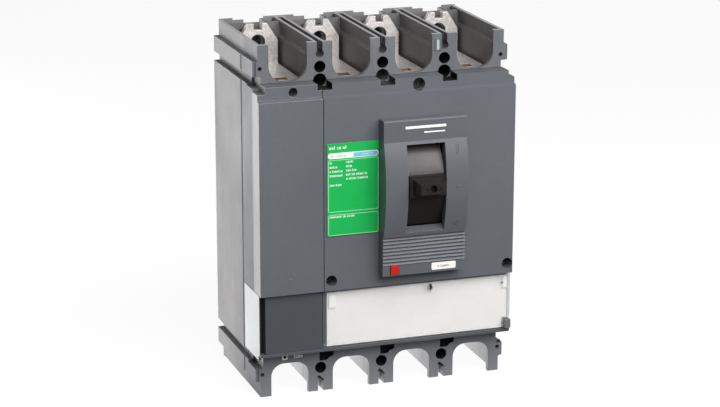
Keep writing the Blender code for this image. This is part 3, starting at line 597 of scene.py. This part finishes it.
def housing():
    piece("rear_case_shell", cad_mesh("rear_case"),
          [PAINT["rear"], PAINT["rim"], PAINT["bay"], PAINT["bay_dark"],
           PAINT["bay_low_reflection"]], "housing", ["rear_case"], 0.45,
          edge_wear_and_highlight=PAINT["rear_edge"], choose=rear_faces)
    piece("front_case_shell", cad_mesh("front_case"),
          [PAINT["case"], PAINT["rim"], PAINT["bay"], PAINT["bay_dark"],
           PAINT["dark_shade"], PAINT["bay_low_reflection"]], "housing", ["front_case"],
          0.4, edge_wear_and_highlight=PAINT["case_edge"], choose=front_faces)
    cover_paints = [PAINT["cover"], PAINT["cover_side_reflection"], PAINT["dark_shade"],
                    PAINT["recess"]]
    for side in ("main", "neutral"):
        piece(side + "_cover_shell", cad_mesh(side + "_cover"), cover_paints,
              "housing", [side + "_cover"], 0.45,
              edge_wear_and_highlight=PAINT["cover_edge"], choose=cover_faces)
    piece("trip_block_shell", cad_mesh("trip_block"),
          [PAINT["band"], PAINT["block_side_reflection"], PAINT["lug"]], "housing",
          ["trip_block"], 0.3, edge_wear_and_highlight=PAINT["case_edge"],
          choose=block_faces)
    piece("neutral_panel_face", cad_mesh("neutral_panel"), PAINT["panel"], "housing",
          ["neutral_panel"], 0.4, edge_wear_and_highlight=PAINT["panel_edge"])
    piece("push_button", cad_mesh("trip_button"), PAINT["red"], "button",
          ["trip_button"], 0.35, 3)
    piece("rating_tile", cad_mesh("rating_plate"), PAINT["white"], "housing",
          ["rating_plate"], 0.15)
    piece("label_film", cad_mesh("label_plate"), PAINT["green"], "housing",
          ["label_plate"], 0.12)
    for i in range(1, 5):
        name = "cover_screw_%d" % i
        piece("screw_head_%d" % i, cad_mesh(name), PAINT["screw"], "housing", [name],
              0.2)
    piece("handle_surround", cad_mesh("escutcheon"), PAINT["frame"], "housing",
          ["escutcheon"], 0.5, edge_wear_and_highlight=PAINT["frame_edge"])


def blank_plate():
    """White plate in the trip unit's place, and dark lines where parts meet: thin plates
    laid on the faces as painted shade in the gaps.
    """
    piece("blank_plate_face", cad_mesh("blank_plate"), PAINT["white"], "housing",
          ["blank_plate"], 0.25)
    # Thin near-black plates on the faces: painted shade in the gaps and seams.
    gaps = {
        "plate_top_gap": (block(-43.4, 90.7, -50.1, -48.0), -103.35),
        "panel_side_gap": (block(-91.6, -88.3, -89.5, -48.0), -103.1),
        "panel_top_gap": (block(-91.6, -47.3, -48.3, -47.6), -104.2),
        "band_line": (block(-92.2, 92.2, 88.55, 89.15), -107.12),
    }
    for name, (outline, face) in gaps.items():
        piece(name, plate_mesh(name, "Y", [outline], face, face + 0.1),
              PAINT["dark_shade"], "housing")
    seams = {"cover_seam": (-47.3, 88.2, -110.04), "band_seam": (89.3, 93.6, -107.04)}
    for name, (low, high, face) in seams.items():
        outline = block(-47.28, -46.72, low, high)
        piece(name, plate_mesh(name, "Y", [outline], face, face + 0.1),
              PAINT["dark_shade"], "housing")


def slot_walls(centre, normal):
    """Paint 1 on the sawn walls of the slot and of the bolt hole, 0 elsewhere."""
    in_slot = -77.2 < centre.y < -68.8 and abs(normal.z) < 0.3 and centre.z < 97.0
    in_hole = abs(normal.y) < 0.3 and abs(abs(centre.z) - 112.0) < 5.3
    near = min(abs(centre.x - x) for x in POLES.values())
    return 1 if near < 6.2 and (in_slot or in_hole) else 0


def terminals():
    for pole in POLES:
        for end in ("line", "load"):
            name = "%s_terminal_%s" % (end, pole)
            piece("%s_pad_%s" % (end, pole), cad_mesh(name),
                  [PAINT["tin"], PAINT["raw"]], "housing", [name],
                  0.4, choose=slot_walls)


# =========================================================================
#  handle
# =========================================================================
PIVOT = (-80.5, 22.3)
HANDLE_X = 22.5
REST_ANGLE = 4.2
PIT_OFFSET = 4.7
PIT_RADIUS = 0.62
HOLE_RADIUS = 2.3
HOLE_MOUTH = 2.9
SKIN_RADII = (43.1, 42.2)
SKIN_ARC = (105.5, 165.0)
SKIN_HALF_WIDTH = 12.9


def tilt(mesh):
    """Turn a mesh drawn level about the pivot to the handle's rest angle."""
    centre = Matrix.Translation((0.0, PIVOT[0] * MM, PIVOT[1] * MM))
    turn = Matrix.Rotation(-math.radians(REST_ANGLE), 4, "X")
    mesh.transform(centre @ turn @ centre.inverted())
    return mesh


def handle():
    y, z = PIVOT
    x = HANDLE_X
    pits = [tilt(rod_mesh("pit", "Y", (x + side * PIT_OFFSET, z), PIT_RADIUS, y - 58,
                          y - 54, 12)) for side in (-1, 1)]
    pits.append(tilt(rod_mesh("mouth", "Y", (x, z), HOLE_RADIUS, y - 57.0, y - 55.6, 24,
                              HOLE_MOUTH)))
    grip = combine(cad_mesh("toggle_handle"), cut(*pits))
    piece("handle_grip", grip, PAINT["handle"], "handle", ["toggle_handle"],
          0.5, 3, edge_wear_and_highlight=PAINT["handle_edge"])
    # Near-black floor of the handle's hole: painted shade.
    floor = tilt(rod_mesh("floor", "Y", (x, z), 2.15, y - 52.6, y - 50.0, 20))
    piece("handle_hole_floor", floor, PAINT["dark_shade"], "handle")
    piece("handle_apron", cad_mesh("toggle_shield"), PAINT["shield"], "handle",
          ["toggle_shield"], 0.3)
    # A lighter skin over the upper apron: painted sheen from the light above.
    start, end = SKIN_ARC
    shell = arc(PIVOT, SKIN_RADII[0], start, end, 22)
    shell += arc(PIVOT, SKIN_RADII[1], end, start, 22)
    skin = plate_mesh("skin", "X", [shell], x - SKIN_HALF_WIDTH, x + SKIN_HALF_WIDTH)
    piece("handle_upper_skin", skin, PAINT["shield_top"], "handle", bevel=0.2,
          edge_wear_and_highlight=PAINT["shield_edge"])


# =========================================================================
#  printing, marks and small mouldings
# =========================================================================
def block(x0, x1, z0, z1):
    return [(x0, z0), (x1, z0), (x1, z1), (x0, z1)]


def ring(x0, x1, z0, z1, radius, line):
    """Outline of a thin frame with round corners."""
    return [rounded(x0, x1, z0, z1, radius),
            rounded(x0 + line, x1 - line, z0 + line, z1 - line, radius - line)]


def strokes(x0, x1, z, height, seed=1):
    """A row of small plain marks where the real part carries print."""
    made = []
    x = x0
    k = seed
    while x < x1 - 0.6 * height:
        k = (k * 5 + 3) % 16
        kind = k % 4
        wide = height * (0.62, 0.50, 0.22, 0.55)[kind]
        line = height * 0.2
        if kind == 0:
            made.append(block(x, x + wide, z, z + height * 0.72))
            made.append(block(x + line, x + wide - line, z + line,
                              z + height * 0.72 - line))
        elif kind == 1:
            made.append(block(x, x + wide, z, z + line))
            made.append(block(x, x + wide, z + height * 0.5, z + height * 0.5 + line))
        elif kind == 2:
            made.append(block(x, x + wide, z, z + height))
        else:
            made.append(block(x, x + line, z, z + height * 0.7))
            made.append(block(x + wide - line, x + wide, z, z + height * 0.7))
        x += wide + height * 0.2
        if k % 7 == 0:
            x += height * 0.5
    return made


def printing(name, outlines, face, paint, proud=0.05, body="housing"):
    """Flat print standing a hair proud of a face that looks forward."""
    piece(name, plate_mesh(name, "Y", outlines, face - proud, face + 0.05),
          PAINT[paint], body)


def label_print():
    face = corners("label_plate")[0].y
    printing("label_heading", strokes(-43.4, -29.6, 52.9, 2.2, 5), face, "ink")
    printing("label_strip", [rounded(-44.3, -8.1, 46.4, 50.4, 1.9)], face, "ink")
    blue = [(-26.0, 46.9), *arc((-10.1, 48.4), 1.5, -90, 90, 8), (-26.0, 49.9)]
    printing("label_strip_blue", [blue], face, "blue", 0.09)
    printing("label_strip_code", strokes(-43.0, -30.4, 47.6, 1.5, 2), face,
             "pale_ink", 0.09)
    printing("label_strip_marks", strokes(-19.5, -11.0, 48.0, 1.0, 9), face, "ink",
             0.13)
    frames = ring(-44.2, -8.0, 8.8, 45.6, 1.3, 0.45)
    frames += ring(-44.2, -8.0, -7.7, 7.1, 1.3, 0.45)
    printing("label_frames", frames, face, "mint")
    rows = ((-43.1, -40.6, 42.8, 3), (-31.4, -25.4, 43.0, 6), (-43.1, -37.3, 39.8, 1),
            (-31.4, -27.2, 40.0, 8), (-43.1, -33.5, 36.8, 4), (-31.4, -23.8, 37.0, 2),
            (-43.1, -33.5, 33.8, 7), (-31.4, -15.8, 34.1, 5), (-31.4, -15.8, 31.2, 9),
            (-43.1, -34.1, 27.2, 2), (-43.2, -25.2, 4.8, 6))
    lines = []
    for x0, x1, z, seed in rows:
        lines += strokes(x0, x1, z, 1.6, seed)
    printing("label_lines", lines, face, "ink")


def plate_print():
    """Plain marks in the places of the other prints."""
    low, high = corners("rating_plate")
    printing("rating_marks", strokes(low.x + 4.6, high.x - 4.0, low.z + 1.8, 1.7, 4),
             low.y, "dark_ink", 0.04)
    bars = [block(8.0, 37.4, 65.4, 67.2), block(21.5, 36.6, 62.0, 62.9)]
    printing("frame_mark", bars, SURROUND_FRONT, "ink")
    printing("skirt_marks", [*ring(-73.0, -69.2, -98.9, -94.9, 0.6, 0.9),
                             *strokes(-64.4, -56.0, -98.2, 2.4, 3)],
             BAY_FRONT, "ink")


def bulge(z):
    """Front of the handle surround at a height."""
    y_axis, z_axis = SURROUND_AXIS
    return y_axis - math.sqrt(SURROUND_RADIUS ** 2 - (z - z_axis) ** 2)


def frame_marks():
    """Raised signs for on, tripped and off beside the handle."""
    x = 45.2
    signs = {
        "sign_on": ring(x - 1.0, x + 1.0, 45.6, 52.6, 0.95, 0.45),
        "sign_tripped": [[(x - 1.6, 24.2), (x + 1.6, 24.2), (x, 21.6)],
                         [(x - 0.8, 23.75), (x + 0.8, 23.75), (x, 22.4)]],
        "sign_off": [circle((x - 0.3, -2.6), 1.85, 24), circle((x - 0.3, -2.6), 1.35, 24)],
    }
    for name, outlines in signs.items():
        mesh = plate_mesh(name, "Y", outlines, -0.28, 0.3)
        for vertex in mesh.vertices:
            vertex.co.y += bulge(vertex.co.z / MM) * MM
        piece(name, mesh, PAINT["frame"], "housing", bevel=0.1,
              edge_wear_and_highlight=PAINT["frame_edge"])


def case_marks():
    """Small mouldings on the bay fronts and the neutral cover."""
    front = BAY_FRONT
    tag = [rounded(37.6, 43.0, 112.6, 121.6, 0.4)]
    piece("bay_tag", plate_mesh("bay_tag", "Y", tag, front - 0.45, front + 0.2),
          PAINT["frame"], "housing", bevel=0.15, edge_wear_and_highlight=PAINT["case_edge"])
    printing("bay_tag_mark", [rounded(39.2, 41.0, 113.4, 120.6, 0.6)], front - 0.45,
             "pale_ink")
    rail = [block(-8.3, -5.4, 101.0, 124.0)]
    piece("bay_rail", plate_mesh("bay_rail", "Y", rail, front - 0.25, front + 0.2),
          PAINT["case"], "housing", bevel=0.12, edge_wear_and_highlight=PAINT["case_edge"])
    # Square hole beside the right foot, shown as a near-black plate: painted shade.
    eye = [block(88.1, 90.3, -103.5, -101.5)]
    piece("foot_window", plate_mesh("foot_window", "Y", eye, front - 0.04, front + 0.2),
          PAINT["dark_shade"], "housing")
    # Near-black walls behind the recesses between the lower bays: painted shade.
    backs = [[(x - 0.6, -95.9), (x - 0.6, -103.5), (x + 6.0, -103.5), (x + 8.0, -101.8),
              (x + 11.6, -100.9), (x + 11.6, -95.9)] for x in JUNCTIONS]
    piece("foot_recess_backs", plate_mesh("foot_recess_backs", "Y", backs, -91.5, -90.8),
          PAINT["dark_shade"], "housing")
    sign = ring(-72.6, -69.8, -39.6, -35.8, 0.5, 0.5)
    piece("neutral_sign", plate_mesh("neutral_sign", "Y", sign, -110.18, -109.8),
          PAINT["cover"], "housing", bevel=0.08, edge_wear_and_highlight=PAINT["cover_edge"])


def flap_edges(centre, normal):
    """Paint 1 on the narrow faces of the flap, 0 on its broad face."""
    return 0 if abs(normal.y) > 0.7 else 1


def flap_details():
    piece("clear_flap", cad_mesh("clear_cover"), [PAINT["clear"], PAINT["clear_edge"]],
          "flap", ["clear_cover"], 0.2, edge_wear_and_highlight=PAINT["clear_edge"],
          choose=flap_edges)
    face = FLAP_FRONT
    catch = [block(-42.2, -37.2, -61.2, -52.2)]
    piece("flap_catch_left", plate_mesh("catch", "Y", catch, face, face + 0.7),
          PAINT["frosted"], "flap", bevel=0.2)
    catch = [block(86.9, 90.3, -59.4, -51.4)]
    piece("flap_catch_right", plate_mesh("catch", "Y", catch, face, face + 0.7),
          PAINT["frosted"], "flap", bevel=0.2)
    loop = [circle((32.4, -52.6), 1.9, 24), circle((32.4, -53.0), 0.95, 20)]
    piece("flap_seal_eye", plate_mesh("eye", "Y", loop, -107.9, -106.6),
          PAINT["clear_edge"], "flap", bevel=0.2)
    # Dark disk in the seal eye's hole: painted shade.
    piece("flap_seal_hole", rod_mesh("hole", "Y", (32.4, -53.0), 1.5, -106.95, -106.9,
                                     20), PAINT["panel"], "flap")
    post = [(31.0, -50.6), (32.6, -50.6), (32.4, -54.6), (31.6, -54.6)]
    piece("flap_seal_post", plate_mesh("post", "Y", [post], -108.6, -106.6),
          PAINT["screw"], "flap", bevel=0.15)
    clip = [block(85.2, 87.2, -55.3, -54.3)]
    piece("flap_clip", plate_mesh("clip", "Y", clip, -107.15, -106.9), PAINT["steel"],
          "flap", bevel=0.08)


def inner_parts():
    """CAD nodes inside the case keep their shape and get real finishes."""
    finishes = {
        "contact_bridge": "copper", "contact_shaft": "rotor", "trip_bar": "rotor",
        "arc_chute": "chute", "main_spring": "spring", "side_plate": "steel",
        "pivot_pin": "steel", "drive_link": "steel", "toggle_yoke": "steel",
        "line_nut": "zinc", "load_nut": "zinc",
    }
    for name, node in NODES.items():
        for start, paint in finishes.items():
            if name.startswith(start):
                node.data.materials.clear()
                node.data.materials.append(PAINT[paint])


# =========================================================================
#  stage
# =========================================================================
def stage():
    low = CAD_BOX[0].z
    bm = bmesh.new()
    bmesh.ops.create_grid(bm, x_segments=2, y_segments=2, size=6.0)
    bmesh.ops.translate(bm, vec=(0, 0, low), verts=bm.verts)
    floor = bpy.data.objects.new("floor", to_mesh(bm, "floor"))
    bpy.context.scene.collection.objects.link(floor)
    floor.data.materials.append(floor_paper())
    studio()
    lamp("front_top_box", (0.25, -0.88, 0.76), (0, -0.06, 0.03), (1.5, 0.95), 24.0)
    lamp("left_card", (-0.62, 0.95, 0.0), (-0.09, -0.03, 0), (0.7, 1.1), 7.4)


def floor_paper():
    """White paper that the camera sees evenly lit, dimmer to the object in front."""
    n = Nodes("floor_paper")
    tone = n.blend(n.noise(3.0, 2.0), (0.93, 0.93, 0.93), (0.97, 0.97, 0.97))
    n.set(colour=tone, rough=0.9, specular=0.0)
    sheet = n.add("ShaderNodeEmission")
    place = n.add("ShaderNodeSeparateXYZ")
    n.link(n.coord, place.inputs[0])
    path = n.add("ShaderNodeLightPath").outputs["Is Camera Ray"]
    behind = n.remap(place.outputs["Y"], -0.15, 0.02, FLOOR_FRONT, FLOOR_BACK)
    glow = n.add("ShaderNodeMix", data_type="FLOAT")
    n.link(path, glow.inputs[0])
    n.link(behind, glow.inputs[2])
    glow.inputs[3].default_value = 1.05
    n.link(glow.outputs[0], sheet.inputs["Strength"])
    mix = n.add("ShaderNodeMixShader")
    mix.inputs[0].default_value = 0.88
    n.link(n.shader.outputs[0], mix.inputs[1])
    n.link(sheet.outputs[0], mix.inputs[2])
    n.link(mix.outputs[0], n.output.inputs["Surface"])
    return n.material


# Strength of the light that the floor and the room throw on the object.
FLOOR_FRONT = 0.12
FLOOR_BACK = 3.0
ROOM_LEVEL = 0.30
ROOM_BACK = 3.5
ROOM_TOP = 1.2


def studio():
    """White to the camera; a dim room with a bright back and ceiling to the object."""
    world = bpy.data.worlds.new("studio")
    bpy.context.scene.world = world
    world.use_nodes = True
    tree = world.node_tree

    def add(kind, **settings):
        made = tree.nodes.new(kind)
        for key, value in settings.items():
            setattr(made, key, value)
        return made

    def ramp(socket, lo, hi, top):
        made = add("ShaderNodeMapRange", interpolation_type="SMOOTHSTEP")
        tree.links.new(socket, made.inputs["Value"])
        for key, value in zip(("From Min", "From Max", "To Min", "To Max"),
                              (lo, hi, 0.0, top)):
            made.inputs[key].default_value = value
        return made.outputs["Result"]

    way = add("ShaderNodeSeparateXYZ")
    tree.links.new(add("ShaderNodeTexCoord").outputs["Generated"], way.inputs[0])
    total = add("ShaderNodeMath", operation="ADD")
    tree.links.new(ramp(way.outputs["Y"], 0.2, 0.9, ROOM_BACK), total.inputs[0])
    tree.links.new(ramp(way.outputs["Z"], 0.3, 1.0, ROOM_TOP), total.inputs[1])
    level = add("ShaderNodeMath", operation="ADD")
    level.inputs[1].default_value = ROOM_LEVEL
    tree.links.new(total.outputs[0], level.inputs[0])
    choose = add("ShaderNodeMix", data_type="FLOAT")
    tree.links.new(add("ShaderNodeLightPath").outputs["Is Camera Ray"], choose.inputs[0])
    tree.links.new(level.outputs[0], choose.inputs[2])
    choose.inputs[3].default_value = 1.0
    tree.links.new(choose.outputs[0], tree.nodes["Background"].inputs["Strength"])


def lamp(name, spot, target, size, power):
    light = bpy.data.lights.new(name, "AREA")
    light.shape = "RECTANGLE"
    light.size, light.size_y = size
    light.energy = power
    holder = bpy.data.objects.new(name, light)
    bpy.context.scene.collection.objects.link(holder)
    holder.location = spot
    aim = Vector(target) - Vector(spot)
    holder.rotation_euler = aim.to_track_quat("-Z", "Y").to_euler()


# Place in metres; turn about the upright, tilt and roll in degrees; lens in mm.
CAMERA_SPOT = (-0.51310, -1.53934, 0.43619)
CAMERA_TURN = (18.994, 15.630, 0.100)
CAMERA_LENS = 114.957


def camera():
    data = bpy.data.cameras.new("camera")
    data.lens = CAMERA_LENS
    data.sensor_width = 36.0
    data.clip_end = 50.0
    a, e, r = (math.radians(v) for v in CAMERA_TURN)
    back = Vector((-math.sin(a) * math.cos(e), -math.cos(a) * math.cos(e), math.sin(e)))
    right = Vector((math.cos(a), -math.sin(a), 0.0))
    up = back.cross(right)
    right, up = (right * math.cos(r) + up * math.sin(r),
                 up * math.cos(r) - right * math.sin(r))
    turn = Matrix((right, up, back)).transposed()
    holder = bpy.data.objects.new("camera", data)
    bpy.context.scene.collection.objects.link(holder)
    holder.matrix_world = Matrix.Translation(CAMERA_SPOT) @ turn.to_4x4()
    bpy.context.scene.camera = holder


housing()
blank_plate()
terminals()
handle()
label_print()
plate_print()
frame_marks()
case_marks()
flap_details()
inner_parts()
stage()
camera()
bpy.context.scene.view_settings.view_transform = "Standard"
